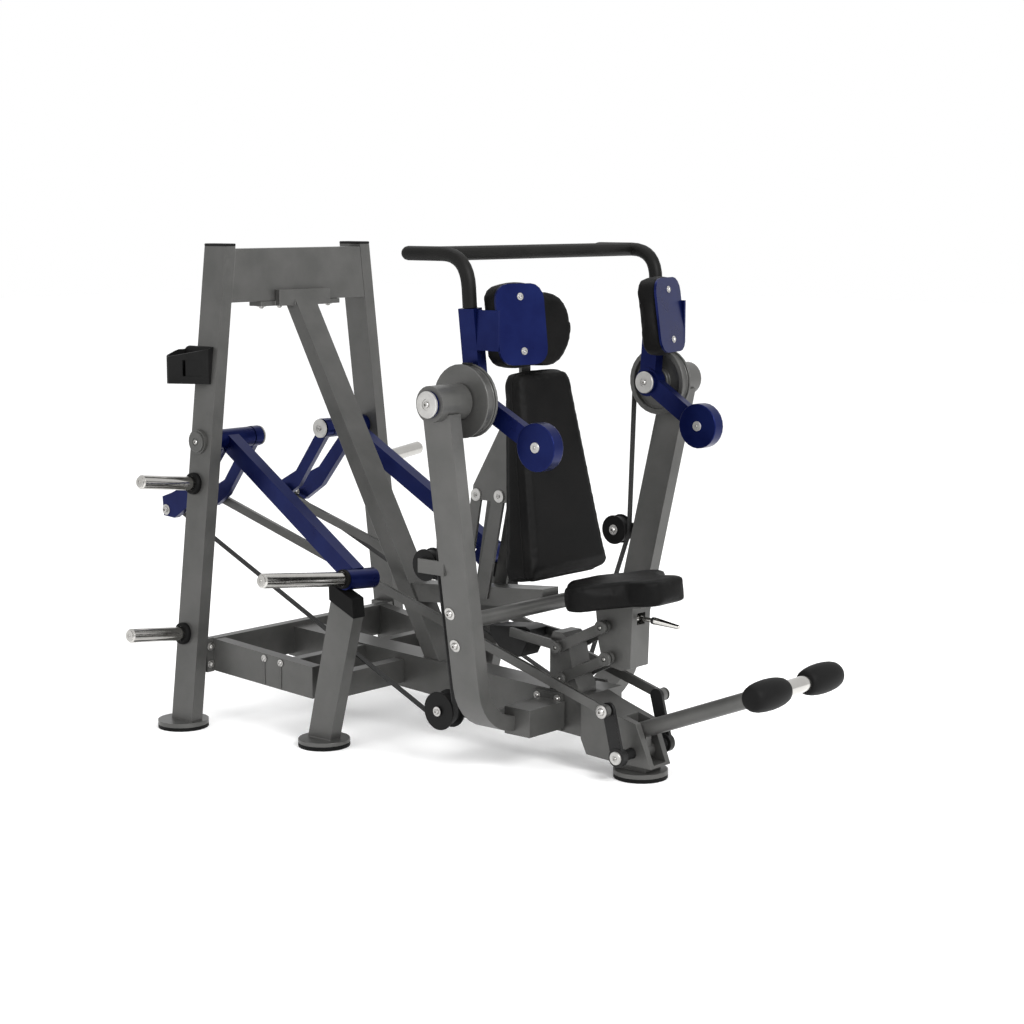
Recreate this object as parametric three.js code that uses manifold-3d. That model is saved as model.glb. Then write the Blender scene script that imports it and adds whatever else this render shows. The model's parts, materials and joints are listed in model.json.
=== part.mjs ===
// Plate-loaded pullover machine. Units are millimetres, +Z is up, the user faces -Y and sits
// on the plane x = 0, so the user's right hand is on the -X side.
// The origin is on the floor, under the centre of the machine's box.
import * as THREE from "three";
import { mergeVertices } from "three/addons/utils/BufferGeometryUtils.js";
import Module from "manifold-3d";

const wasm = await Module();
wasm.setup();

// ---------- main dimensions ----------
const POST_FACE_Y = 875.5; // front face of the two rear posts
const GAP = 0.3; // clearance between pieces that touch
const PIN_GAP = 0.6; // clearance round a pin that turns
const FINE = 24; // sides of a large round piece
const COARSE = 16; // sides of a small round piece

const FOOT_RADIUS = 87;
const RUBBER_HEIGHT = 12;
const FOOT_PLATE_TOP = 27;

const POST_HEIGHT = 1650;
const POST_DEPTH = 105;
const POST_WIDTH = 47;
const POST_TOP_X = 344; // outer face at the top
const POST_FOOT_X = 541; // outer face at the floor

const BEAM_HALF = 48; // half width of the sloping centre beam
const SPINE_HALF = 54; // half width of the low centre spine

const HUB_Z = 1201; // shoulder axis of the pullover arms
const HUB_STATION = 1221; // how far that axis is in front of the rear posts
const UPRIGHT_DEPTH = 108;
const CAM_RADIUS = 111;

const PIVOT_Z = 979; // axis of the two weight arms
const PIVOT_STATION = -65;

const PEG_RADIUS = 24;

// A station is a distance in front of the rear posts' front face.
const at = (station) => POST_FACE_Y - station;

// ---------- helpers ----------
// Geometry to a manifold-3d solid and back.
function solidFrom(geometry) {
  const bare = geometry.index ? geometry.toNonIndexed() : geometry.clone();
  bare.deleteAttribute("normal");
  bare.deleteAttribute("uv");
  const merged = mergeVertices(bare, 1e-4);
  return new wasm.Manifold(
    new wasm.Mesh({
      numProp: 3,
      vertProperties: new Float32Array(merged.attributes.position.array),
      triVerts: new Uint32Array(merged.index.array),
    }),
  );
}

function geometryFrom(solid) {
  const mesh = solid.getMesh();
  const count = mesh.numProp;
  const positions = new Float32Array(mesh.numVert * 3);
  for (let i = 0; i < mesh.numVert; i++) {
    positions.set(mesh.vertProperties.subarray(i * count, i * count + 3), i * 3);
  }
  const geometry = new THREE.BufferGeometry();
  geometry.setAttribute("position", new THREE.BufferAttribute(positions, 3));
  geometry.setIndex(new THREE.BufferAttribute(mesh.triVerts, 1));
  return geometry;
}

const join = (...solids) => solids.reduce((whole, next) => whole.add(next));
const cut = (solid, ...tools) => tools.reduce((left, tool) => left.subtract(tool), solid);

// An outline as a THREE.Shape, run counter-clockwise so that the extrusion faces out.
function outline(points) {
  const corners = points.map(([a, b]) => new THREE.Vector2(a, b));
  if (THREE.ShapeUtils.area(corners) < 0) corners.reverse();
  return new THREE.Shape(corners);
}

// A side view, given as [y, z] corners, made solid from x0 to x1.
function sideView(points, x0, x1) {
  const shape = outline(points);
  const geometry = new THREE.ExtrudeGeometry(shape, { depth: x1 - x0, bevelEnabled: false });
  const turn = new THREE.Matrix4().makeBasis(
    new THREE.Vector3(0, 1, 0),
    new THREE.Vector3(0, 0, 1),
    new THREE.Vector3(1, 0, 0),
  );
  geometry.applyMatrix4(turn);
  geometry.translate(x0, 0, 0);
  return solidFrom(geometry);
}

// A front view, given as [x, z] corners, made solid from y0 to y1.
function frontView(points, y0, y1) {
  const shape = outline(points.map(([x, z]) => [-x, z]));
  const geometry = new THREE.ExtrudeGeometry(shape, { depth: y1 - y0, bevelEnabled: false });
  const turn = new THREE.Matrix4().makeBasis(
    new THREE.Vector3(-1, 0, 0),
    new THREE.Vector3(0, 0, 1),
    new THREE.Vector3(0, 1, 0),
  );
  geometry.applyMatrix4(turn);
  geometry.translate(0, y0, 0);
  return solidFrom(geometry);
}

// A plan view, given as [x, y] corners, made solid from z0 to z1.
function planView(points, z0, z1) {
  const geometry = new THREE.ExtrudeGeometry(outline(points), { depth: z1 - z0, bevelEnabled: false });
  geometry.translate(0, 0, z0);
  return solidFrom(geometry);
}

const box = (x0, x1, y0, y1, z0, z1) => planView([[x0, y0], [x1, y0], [x1, y1], [x0, y1]], z0, z1);

// A six-sided block from its four lower and four upper corners, both in the same order.
function block(lower, upper) {
  const geometry = new THREE.BufferGeometry();
  const corners = [...lower, ...upper].flat();
  geometry.setAttribute("position", new THREE.Float32BufferAttribute(corners, 3));
  geometry.setIndex([
    0, 2, 1, 0, 3, 2, 4, 5, 6, 4, 6, 7, 0, 1, 5, 0, 5, 4, 1, 2, 6, 1, 6, 5, 2, 3, 7, 2, 7, 6, 3, 0, 4, 3, 4, 7,
  ]);
  return solidFrom(geometry);
}

// A straight rail of constant width between two [x, y] ends, whose top and foot heights may differ.
function rail(start, end, width, heights) {
  const along = new THREE.Vector2(end[0] - start[0], end[1] - start[1]).normalize();
  const side = [(-along.y * width) / 2, (along.x * width) / 2];
  const corner = (point, sign, z) => [point[0] + sign * side[0], point[1] + sign * side[1], z];
  const level = (startZ, endZ) => [
    corner(start, -1, startZ),
    corner(end, -1, endZ),
    corner(end, 1, endZ),
    corner(start, 1, startZ),
  ];
  return block(
    level(heights.startFoot, heights.endFoot),
    level(heights.startTop, heights.endTop),
  );
}

// A round bar between two points.
function rod(from, to, radius, sides = COARSE, endRadius = radius) {
  const start = new THREE.Vector3(...from);
  const end = new THREE.Vector3(...to);
  const geometry = new THREE.CylinderGeometry(endRadius, radius, start.distanceTo(end), sides);
  const turn = new THREE.Quaternion().setFromUnitVectors(
    new THREE.Vector3(0, 1, 0),
    end.clone().sub(start).normalize(),
  );
  geometry.applyQuaternion(turn);
  geometry.translate((start.x + end.x) / 2, (start.y + end.y) / 2, (start.z + end.z) / 2);
  return solidFrom(geometry);
}

const disc = (x0, x1, y, z, radius, sides = FINE) => rod([x0, y, z], [x1, y, z], radius, sides);
const puck = (x, y, z0, z1, radius) => rod([x, y, z0], [x, y, z1], radius, FINE);

// A straight bar with a rectangular section; width is along X, depth is square to the bar.
function bar(from, to, width, depth) {
  const start = new THREE.Vector3(...from);
  const end = new THREE.Vector3(...to);
  const along = end.clone().sub(start).normalize();
  const side = new THREE.Vector3(1, 0, 0).addScaledVector(along, -along.x).normalize();
  const up = new THREE.Vector3().crossVectors(along, side);
  const geometry = new THREE.BoxGeometry(width, depth, start.distanceTo(end));
  geometry.applyMatrix4(new THREE.Matrix4().makeBasis(side, up, along));
  geometry.translate((start.x + end.x) / 2, (start.y + end.y) / 2, (start.z + end.z) / 2);
  return solidFrom(geometry);
}

// The corners of a path with its inner corners rounded off.
function rounded(points, bendRadius, steps) {
  const corners = points.map((p) => new THREE.Vector3(...p));
  const path = [corners[0].toArray()];
  for (let i = 1; i < corners.length - 1; i++) {
    const corner = corners[i];
    const enter = corners[i - 1].clone().sub(corner).setLength(bendRadius).add(corner);
    const leave = corners[i + 1].clone().sub(corner).setLength(bendRadius).add(corner);
    const bend = new THREE.QuadraticBezierCurve3(enter, corner, leave);
    for (let k = 0; k <= steps; k++) path.push(bend.getPoint(k / steps).toArray());
  }
  path.push(corners[corners.length - 1].toArray());
  return path;
}

// A section, given as [x, up] corners, carried along a path that runs mostly in the YZ plane.
function sweep(path, section) {
  const points = path.map((p) => new THREE.Vector3(...p));
  const positions = [];
  points.forEach((point, i) => {
    const before = points[Math.max(i - 1, 0)];
    const after = points[Math.min(i + 1, points.length - 1)];
    const along = after.clone().sub(before).normalize();
    const side = new THREE.Vector3(1, 0, 0).addScaledVector(along, -along.x).normalize();
    const up = new THREE.Vector3().crossVectors(along, side);
    for (const [u, v] of section) {
      positions.push(...point.clone().addScaledVector(side, u).addScaledVector(up, v).toArray());
    }
  });
  const count = section.length;
  const last = (points.length - 1) * count;
  const faces = [];
  for (let i = 0; i < last; i += count) {
    for (let k = 0; k < count; k++) {
      const next = (k + 1) % count;
      faces.push(i + k, i + next, i + next + count, i + k, i + next + count, i + k + count);
    }
  }
  for (let k = 1; k < count - 1; k++) {
    faces.push(0, k + 1, k, last, last + k, last + k + 1);
  }
  const geometry = new THREE.BufferGeometry();
  geometry.setAttribute("position", new THREE.Float32BufferAttribute(positions, 3));
  geometry.setIndex(faces);
  return solidFrom(geometry);
}

function circle(radius, sides) {
  const points = [];
  for (let k = 0; k < sides; k++) {
    const angle = (2 * Math.PI * k) / sides;
    points.push([radius * Math.cos(angle), radius * Math.sin(angle)]);
  }
  return points;
}

function ball(centre, radius, sides) {
  const geometry = new THREE.SphereGeometry(radius, sides, sides / 2);
  geometry.translate(...centre);
  return solidFrom(geometry);
}

// A rectangle with rounded corners, as [a, b] corners round its centre.
function roundedRectangle(width, height, radius, steps = 4) {
  const points = [];
  const corners = [[1, 1, 0], [-1, 1, 90], [-1, -1, 180], [1, -1, 270]];
  for (const [sa, sb, from] of corners) {
    for (let k = 0; k <= steps; k++) {
      const angle = THREE.MathUtils.degToRad(from + (90 * k) / steps);
      points.push([
        sa * (width / 2 - radius) + radius * Math.cos(angle),
        sb * (height / 2 - radius) + radius * Math.sin(angle),
      ]);
    }
  }
  return points;
}

// Points of an arc in a side view, angles in degrees from +Y towards +Z.
function arc(y, z, radius, from, to, steps) {
  const points = [];
  for (let k = 0; k <= steps; k++) {
    const angle = THREE.MathUtils.degToRad(from + ((to - from) * k) / steps);
    points.push([y + radius * Math.cos(angle), z + radius * Math.sin(angle)]);
  }
  return points;
}

const mirror = (solid) => solid.mirror([1, 0, 0]);

// A solid moved a little each way along X and Y and joined up: a tool that leaves clearance.
const grown = (solid) =>
  join(
    solid,
    solid.translate([GAP, 0, 0]),
    solid.translate([-GAP, 0, 0]),
    solid.translate([0, GAP, 0]),
    solid.translate([0, -GAP, 0]),
  );

// ---------- the part ----------
const part = new THREE.Group();

function add(name, solid, colour) {
  const material = new THREE.MeshStandardMaterial({ color: colour, side: THREE.DoubleSide });
  const mesh = new THREE.Mesh(geometryFrom(solid), material);
  mesh.name = name;
  part.add(mesh);
}

// The same piece on both sides; it is drawn on the user's right, where x is negative.
function addPair(name, solid, colour) {
  add("right_" + name, solid, colour);
  add("left_" + name, mirror(solid), colour);
}

const GREY = 0x6f6f6d;
const BLUE = 0x1c2468;
const BLACK = 0x161616;
const CHROME = 0xc8c8c4;
const RUBBER = 0x1b1b1b;

// ---------- rear posts ----------
const POST_LEAN = (POST_FOOT_X - POST_TOP_X) / POST_HEIGHT;
const postOuter = (z) => -(POST_FOOT_X - POST_LEAN * z);

function rearPost() {
  const foot = FOOT_PLATE_TOP - 2;
  const shaft = frontView(
    [
      [postOuter(foot), foot],
      [postOuter(foot) + POST_WIDTH, foot],
      [postOuter(POST_HEIGHT - 8) + POST_WIDTH, POST_HEIGHT - 8],
      [postOuter(POST_HEIGHT - 8), POST_HEIGHT - 8],
    ],
    at(0),
    at(-POST_DEPTH),
  );
  const cap = frontView(
    [
      [postOuter(POST_HEIGHT - 8) + 3, POST_HEIGHT - 9],
      [postOuter(POST_HEIGHT - 8) + POST_WIDTH - 3, POST_HEIGHT - 9],
      [postOuter(POST_HEIGHT) + POST_WIDTH - 3, POST_HEIGHT],
      [postOuter(POST_HEIGHT) + 3, POST_HEIGHT],
    ],
    at(-3),
    at(-POST_DEPTH + 3),
  );
  const plate = puck(REAR_FOOT_X, REAR_FOOT_Y, RUBBER_HEIGHT + GAP, FOOT_PLATE_TOP, FOOT_RADIUS);
  const boss = rod(
    [postOuter(PIVOT_Z) + 4, at(PIVOT_STATION), PIVOT_Z],
    [postOuter(PIVOT_Z) - 9, at(PIVOT_STATION), PIVOT_Z],
    42,
    FINE,
  );
  const axle = disc(-384, PIVOT_TUBE_OUTER + PIVOT_BORE - 10, at(PIVOT_STATION), PIVOT_Z, PIVOT_AXLE, COARSE);
  return join(shaft, cap, plate, boss, axle);
}
const PIVOT_TUBE_OUTER = -372; // outer end of a weight arm's pivot tube
const PIVOT_BORE = 60; // depth of the bore in its outer end
const PIVOT_AXLE = 14;
const REAR_FOOT_X = -519;
const REAR_FOOT_Y = at(-66);
addPair("rear_post", rearPost(), GREY);

// ---------- top beam between the posts ----------
const TOP_BEAM_LOW = 1451;
const TOP_BEAM_HIGH = 1633;
const TOP_BEAM_DEPTH = 60;
function topBeam() {
  const inner = (z) => -postOuter(z) - POST_WIDTH - GAP;
  return frontView(
    [
      [-inner(TOP_BEAM_LOW), TOP_BEAM_LOW],
      [inner(TOP_BEAM_LOW), TOP_BEAM_LOW],
      [inner(TOP_BEAM_HIGH), TOP_BEAM_HIGH],
      [-inner(TOP_BEAM_HIGH), TOP_BEAM_HIGH],
    ],
    at(0),
    at(-TOP_BEAM_DEPTH),
  );
}
add("rear_top_beam", topBeam(), GREY);

// ---------- sloping centre beam, with the saddle that bolts to the top beam ----------
const SADDLE_HALF = 122;
function slantBeam() {
  const member = sideView(
    [
      [at(-25), 1438],
      [at(10), 1476],
      [at(24), 1459],
      [at(567), 509],
      [at(708), 252],
      [at(640), 252],
    ],
    -BEAM_HALF,
    BEAM_HALF,
  );
  const face = box(-SADDLE_HALF, SADDLE_HALF, at(25), at(GAP), 1434, 1490);
  const underPlate = box(-190, 190, at(4), at(-58), 1434, TOP_BEAM_LOW - GAP);
  const behindBeam = box(-BEAM_HALF - 5, BEAM_HALF + 5, at(GAP), at(-100), TOP_BEAM_LOW - GAP, 1500);
  return cut(join(member, face, underPlate), behindBeam);
}
add("slant_beam", slantBeam(), GREY);

// ---------- low frame: rear cross beam, two side rails, spine and braces ----------
const RAIL_REAR_X = 408;
const RAIL_FRONT_X = 358;
const RAIL_FRONT_STATION = 432;
const SPINE_FRONT_STATION = 1335;
const spineTop = (station) => 287 - 0.037 * station;
const spineFoot = (station) => 178 - 0.055 * station;
const SPINE_SLOPES = [
  [at(-30), spineTop(-30)],
  [at(SPINE_FRONT_STATION), spineTop(SPINE_FRONT_STATION)],
  [at(SPINE_FRONT_STATION), spineFoot(SPINE_FRONT_STATION)],
  [at(-30), spineFoot(-30)],
];
const COLUMN_HALF = 46;
function baseFrame() {
  const crossBeam = box(-430, 430, at(0), at(-36), 191, 303);
  const endPlate = (side) => box(side * 444 - 15, side * 444 + 15, at(-4), at(-90), 187, 305);
  const sideRail = (side) =>
    rail([side * RAIL_REAR_X, at(-20)], [side * RAIL_FRONT_X, at(RAIL_FRONT_STATION)], 45, {
      startFoot: 191,
      startTop: 303,
      endFoot: 148,
      endTop: 256,
    });
  const brace = (side) =>
    rail([side * (SPINE_HALF - 4), at(338)], [side * 366, at(312)], 40, {
      startFoot: 186,
      startTop: 270,
      endFoot: 186,
      endTop: 264,
    });
  const spine = sideView(SPINE_SLOPES, -SPINE_HALF, SPINE_HALF);
  return cut(
    join(
      crossBeam,
      cut(endPlate(-1), postEnvelope()),
      cut(endPlate(1), mirror(postEnvelope())),
      sideRail(-1),
      sideRail(1),
      brace(-1),
      brace(1),
      spine,
      seatColumn(),
    ),
    slantEnvelope(),
    ...[0, 1].map((level) => linkBore(linkEnds(level).rear)),
  );
}

// Seat column that stands on the spine and carries the rear ends of the seat links.
function seatColumn() {
  return sideView(
    [
      [at(1187), 220],
      [at(1305), 220],
      [at(1303), 262],
      [at(1282), 300],
      [at(1262), 410],
      [at(1240), 430],
      [at(1200), 430],
      [at(1187), 400],
    ],
    -COLUMN_HALF,
    COLUMN_HALF,
  );
}

// The sloping beam's lower end with clearance round it.
function slantEnvelope() {
  return sideView(
    [
      [at(567 + 8), 509],
      [at(708 + 8), 252 - GAP],
      [at(640 - 8), 252 - GAP],
      [at(450), 600],
    ],
    -BEAM_HALF - GAP,
    BEAM_HALF + GAP,
  );
}

// The rear post with clearance round it, for trimming what butts against it.
function postEnvelope() {
  return frontView(
    [
      [postOuter(0) - 20, 0],
      [postOuter(0) + POST_WIDTH + GAP, 0],
      [postOuter(600) + POST_WIDTH + GAP, 600],
      [postOuter(600) - 20, 600],
    ],
    at(GAP),
    at(-POST_DEPTH - GAP),
  );
}

// ---------- middle posts under the weight arms ----------
const MID_FOOT_X = -382;
const MID_FOOT_STATION = 489;
const MID_POST_X = [-406, -359];
function midPost() {
  const shaft = sideView(
    [
      [at(436), FOOT_PLATE_TOP - 2],
      [at(541), FOOT_PLATE_TOP - 2],
      [at(657), 455],
      [at(552), 500],
    ],
    ...MID_POST_X,
  );
  const plate = puck(MID_FOOT_X, at(MID_FOOT_STATION), RUBBER_HEIGHT + GAP, FOOT_PLATE_TOP, FOOT_RADIUS);
  const stub = box(MID_POST_X[1] - 10, -SPINE_HALF - GAP, at(545), at(500), 165, 245);
  return join(shaft, plate, stub);
}
function bumper() {
  return sideView(
    [
      [at(548), 503],
      [at(661), 454],
      [at(656), 517],
      [at(546), 561],
    ],
    MID_POST_X[0] - 3,
    MID_POST_X[1] + 3,
  );
}


// ---------- front housing that carries the foot bar ----------
const FOOT_AXIS_Z = 87;
const FOOT_AXIS_STATION = 1527;
const FOOT_SHAFT_RADIUS = 17;
const FOOT_HUB_RADIUS = 29;
const FRONT_FOOT_STATION = 1521;
const MOUTH_HALF = 31;
function frontHousing() {
  const outer = sideView(
    [
      [at(SPINE_FRONT_STATION + GAP), 240],
      [at(1400), 220],
      [at(1543), 182],
      [at(1600), 45],
      [at(1478), 47],
      [at(1357), 57],
      [at(SPINE_FRONT_STATION + GAP), 104],
    ],
    -80,
    80,
  );
  const taper = planView(
    [
      [-72, at(SPINE_FRONT_STATION - 5)],
      [-50, at(1610)],
      [50, at(1610)],
      [72, at(SPINE_FRONT_STATION - 5)],
    ],
    0,
    300,
  );
  const neck = box(-40, 40, at(1570), at(1450), FOOT_PLATE_TOP - 2, 60);
  const plate = puck(0, at(FRONT_FOOT_STATION), RUBBER_HEIGHT + GAP, FOOT_PLATE_TOP, FOOT_RADIUS);
  const mouth = box(-MOUTH_HALF, MOUTH_HALF, at(1620), at(1486), 54, 300);
  const shaftHole = disc(-90, 90, at(FOOT_AXIS_STATION), FOOT_AXIS_Z, FOOT_SHAFT_RADIUS + PIN_GAP, COARSE);
  return cut(join(outer.intersect(taper), neck, plate), mouth, shaftHole);
}
add("front_housing", frontHousing(), GREY);

// ---------- rubber feet ----------
addPair("rear_foot", puck(REAR_FOOT_X, REAR_FOOT_Y, 0, RUBBER_HEIGHT, FOOT_RADIUS), RUBBER);
addPair("mid_foot", puck(MID_FOOT_X, at(MID_FOOT_STATION), 0, RUBBER_HEIGHT, FOOT_RADIUS), RUBBER);
add("front_foot", puck(0, at(FRONT_FOOT_STATION), 0, RUBBER_HEIGHT, FOOT_RADIUS), RUBBER);

// ---------- front uprights with their bearing barrels ----------
const BARREL_OUTER = -640;
const BARREL_INNER = -512;
const BARREL_RADIUS = 55;
const AXLE_RADIUS = 20;
const UPRIGHT_SHIFT = 63 / 850; // how far the upright runs back per millimetre of drop
const uprightFrontStation = (z) => 1276 - UPRIGHT_SHIFT * (HUB_Z - z);
function upright() {
  const bend = { x: 214, z: 340, radius: 180, start: -12.9, end: -87 };
  const half = 24;
  const outer = arc(bend.x, bend.z, bend.radius + half, bend.start, bend.end, 7);
  const inner = arc(bend.x, bend.z, bend.radius - half, bend.end, bend.start, 7);
  const silhouette = [
    [563, 1171],
    [612, 1171],
    [426, 350],
    ...outer,
    [90, outer[outer.length - 1][1] - 4],
    [90, inner[0][1] - 4],
    ...inner,
    [376, 350],
  ].map(([x, z]) => [-x, z]);
  const sheared = frontView(silhouette, 0, UPRIGHT_DEPTH).transform([
    1, 0, 0, 0,
    0, 1, 0, 0,
    0, -UPRIGHT_SHIFT, 1, 0,
    0, at(1276) + UPRIGHT_SHIFT * HUB_Z, 0, 1,
  ]);
  const barrel = disc(BARREL_OUTER, BARREL_INNER, at(HUB_STATION), HUB_Z, BARREL_RADIUS);
  const bore = disc(BARREL_OUTER - 5, BARREL_INNER + 5, at(HUB_STATION), HUB_Z, AXLE_RADIUS + PIN_GAP, COARSE);
  const foot = box(-235, -SPINE_HALF - GAP - 8, at(1262), at(1158), 125, 213);
  const flange = box(-SPINE_HALF - 12, -SPINE_HALF - GAP, at(1250), at(1135), 114, 236);
  return cut(join(sheared, barrel, foot, flange), bore);
}

// ---------- belt rollers: one low behind each upright, one guide roller half way up ----------
const ROLLER_STATION = 981;
const ROLLER_Z = 189;
const ROLLER_X = -322;
const ROLLER_GROOVE = 45;
const ROLLER_RIM = 62;
const GUIDE_STATION = 1056;
const GUIDE_Z = 686;
const GUIDE_X = -469;
const GUIDE_GROOVE = 44;
const GUIDE_RIM = 50;
const ROLLER_AXLE = 10;
function roller(x, station, z, width, rimRadius, grooveRadius) {
  const rim = 6;
  const core = disc(x - width / 2, x + width / 2, at(station), z, grooveRadius);
  const outerRim = disc(x - width / 2, x - width / 2 + rim, at(station), z, rimRadius);
  const innerRim = disc(x + width / 2 - rim, x + width / 2, at(station), z, rimRadius);
  const bore = disc(x - width, x + width, at(station), z, ROLLER_AXLE + PIN_GAP, COARSE);
  return cut(join(core, outerRim, innerRim), bore);
}
addPair("lower_roller", roller(ROLLER_X, ROLLER_STATION, ROLLER_Z, 60, ROLLER_RIM, ROLLER_GROOVE), BLACK);
addPair("guide_roller", roller(GUIDE_X, GUIDE_STATION, GUIDE_Z, 46, GUIDE_RIM, GUIDE_GROOVE), BLACK);

// Axles and arms that hold the rollers; they are welded to the upright.
function rollerMounts() {
  const lowerArm = bar([-282, at(ROLLER_STATION - 14), ROLLER_Z], [-282, at(1160), 186], 12, 46);
  const lowerAxle = disc(-358, -280, at(ROLLER_STATION), ROLLER_Z, ROLLER_AXLE, COARSE);
  const guideArm = bar([-502, at(GUIDE_STATION - 14), GUIDE_Z], [-502, at(1150), GUIDE_Z], 9, 44);
  const guideAxle = disc(-503, -446, at(GUIDE_STATION), GUIDE_Z, ROLLER_AXLE, COARSE);
  return join(lowerArm, lowerAxle, guideArm, guideAxle);
}
addPair("upright", join(upright(), rollerMounts()), GREY);

// ---------- cross tube between the uprights ----------
const CROSS_STATION = 1172;
const CROSS_Z = 515;
const CROSS_RADIUS = 24;
const CROSS_END = 410;
add(
  "cross_tube",
  cut(
    disc(-CROSS_END, CROSS_END, at(CROSS_STATION), CROSS_Z, CROSS_RADIUS, FINE),
    grown(upright()),
    grown(mirror(upright())),
  ),
  GREY,
);

// ---------- centre support: rail from the slant beam to the cross tube, and back plates ----------
const BACK_PLATE_X = 42;
function seatSupport() {
  const member = sideView(
    [
      [at(590), 450],
      [at(560), 510],
      [at(1150), 558],
      [at(1150), 496],
    ],
    -40,
    40,
  );
  const sidePlate = (x) => {
    const view = (points) => sideView(points, x - 5, x + 5);
    const frontBar = view([
      [at(866), 500],
      [at(940), 845],
      [at(990), 835],
      [at(918), 500],
    ]);
    const rearBar = view([
      [at(790), 500],
      [at(850), 842],
      [at(893), 842],
      [at(830), 500],
    ]);
    const crown = view([
      [at(854), 826],
      [at(858), 872],
      [at(972), 1062],
      [at(1066), 1062],
      [at(1088), 845],
      [at(1000), 826],
    ]);
    return join(frontBar, rearBar, crown);
  };
  const spreader = (station, z) => disc(-BACK_PLATE_X, BACK_PLATE_X, at(station), z, 12, COARSE);
  const stem = box(-22, 22, at(1046), at(1034), 1040, 1400);
  const stemFoot = box(-BACK_PLATE_X, BACK_PLATE_X, at(1046), at(1020), 1010, 1056);
  const headPlate = rod([0, at(1046), 1388], [0, at(1034), 1388], 80, FINE);
  return join(
    member,
    sidePlate(-BACK_PLATE_X),
    sidePlate(BACK_PLATE_X),
    spreader(873, 842),
    spreader(973, 845),
    stem,
    stemFoot,
    headPlate,
  );
}
const crossEnvelope = disc(-500, 500, at(CROSS_STATION), CROSS_Z, CROSS_RADIUS + GAP, FINE);
add("seat_support", cut(seatSupport(), grown(slantBeam()), crossEnvelope), GREY);

// ---------- backrest and headrest cushions ----------
const BACK_TOP_Z = 1254;
const BACK_FOOT_Z = 616;
function backrest() {
  const side = sideView(
    [
      [at(1122), BACK_TOP_Z],
      [at(1236), BACK_FOOT_Z + 22],
      [at(1225), BACK_FOOT_Z],
      [at(1122), BACK_FOOT_Z - 20],
      [at(1060), BACK_TOP_Z],
    ],
    -200,
    200,
  );
  const front = frontView(
    [
      [-131, BACK_TOP_Z - 20],
      [-111, BACK_TOP_Z + 5],
      [111, BACK_TOP_Z + 5],
      [131, BACK_TOP_Z - 20],
      [193, BACK_FOOT_Z + 22],
      [176, BACK_FOOT_Z - 30],
      [-176, BACK_FOOT_Z - 30],
      [-193, BACK_FOOT_Z + 22],
    ],
    at(1300),
    at(1000),
  );
  return side.intersect(front);
}
add("backrest_pad", cut(backrest(), grown(seatSupport())), BLACK);

const HEAD_RADIUS = 118;
function headrest() {
  return rod([0, at(1140), 1390], [0, at(1046.5), 1388], HEAD_RADIUS, FINE);
}
add("headrest_pad", cut(headrest(), grown(seatSupport())), BLACK);

// ---------- seat: bracket, parallel links, carriage, cushion and release lever ----------
const LINK_STEP = { station: -17, z: 98 }; // from the lower link's pivots to the upper link's
const LINK_REAR = { station: 1257, z: 290 };
const LINK_FRONT = { station: 1437, z: 378 };
const LINK_PIN = 11;
const LINK_EYE = 20;
const LINK_INNER = 54;
const LINK_OUTER = 66;
const linkPoint = (end, level) => [end.station + level * LINK_STEP.station, end.z + level * LINK_STEP.z];
const linkEnds = (level) => ({ rear: linkPoint(LINK_REAR, level), front: linkPoint(LINK_FRONT, level) });
const linkBore = ([station, z]) => disc(-90, 90, at(station), z, LINK_PIN + PIN_GAP, COARSE);

const baseBody = baseFrame();
addPair("mid_post", cut(midPost(), grown(baseBody)), GREY);
add("base_frame", baseBody, GREY);
addPair("bumper", bumper(), RUBBER);

function link(level) {
  const { rear, front } = linkEnds(level);
  const side = (x0, x1) =>
    join(
      bar([(x0 + x1) / 2, at(rear[0]), rear[1]], [(x0 + x1) / 2, at(front[0]), front[1]], x1 - x0, 34),
      disc(x0, x1, at(rear[0]), rear[1], LINK_EYE, COARSE),
      disc(x0, x1, at(front[0]), front[1], LINK_EYE, COARSE),
    );
  const pin = ([station, z]) => disc(-LINK_OUTER - 10, LINK_OUTER + 10, at(station), z, LINK_PIN, COARSE);
  return join(side(-LINK_OUTER, -LINK_INNER), side(LINK_INNER, LINK_OUTER), pin(rear), pin(front));
}

const WEIGHT_HALF = 44;
const WEIGHT_ARM_REAR = [1092, 408];
function upperLink() {
  const [station, z] = linkEnds(1).rear;
  const tail = (x0, x1) => {
    const x = (x0 + x1) / 2;
    return bar([x, at(WEIGHT_ARM_REAR[0] - 60), WEIGHT_ARM_REAR[1]], [x, at(station), z], x1 - x0, 30);
  };
  return join(link(1), tail(-LINK_OUTER, -LINK_INNER), tail(LINK_INNER, LINK_OUTER), balanceBolt(0));
}
const balanceBolt = (clearance) =>
  disc(
    -LINK_OUTER,
    LINK_OUTER,
    at(WEIGHT_ARM_REAR[0] - 45),
    WEIGHT_ARM_REAR[1] - 4,
    8 + clearance,
    COARSE,
  );
add("seat_upper_link", upperLink(), GREY);
add("seat_lower_link", link(0), GREY);

// Counterbalance on the tail of the upper link.
function balanceWeight() {
  const body = sideView(
    [
      [at(925), 412],
      [at(930), 380],
      [at(985), 330],
      [at(1025), 318],
      [at(1062), 326],
      [at(1086), 372],
      [at(1100), 420],
      [at(1080), 428],
    ],
    -WEIGHT_HALF,
    WEIGHT_HALF,
  );
  return cut(body, balanceBolt(GAP));
}
add("seat_balance_weight", balanceWeight(), BLACK);

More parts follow.
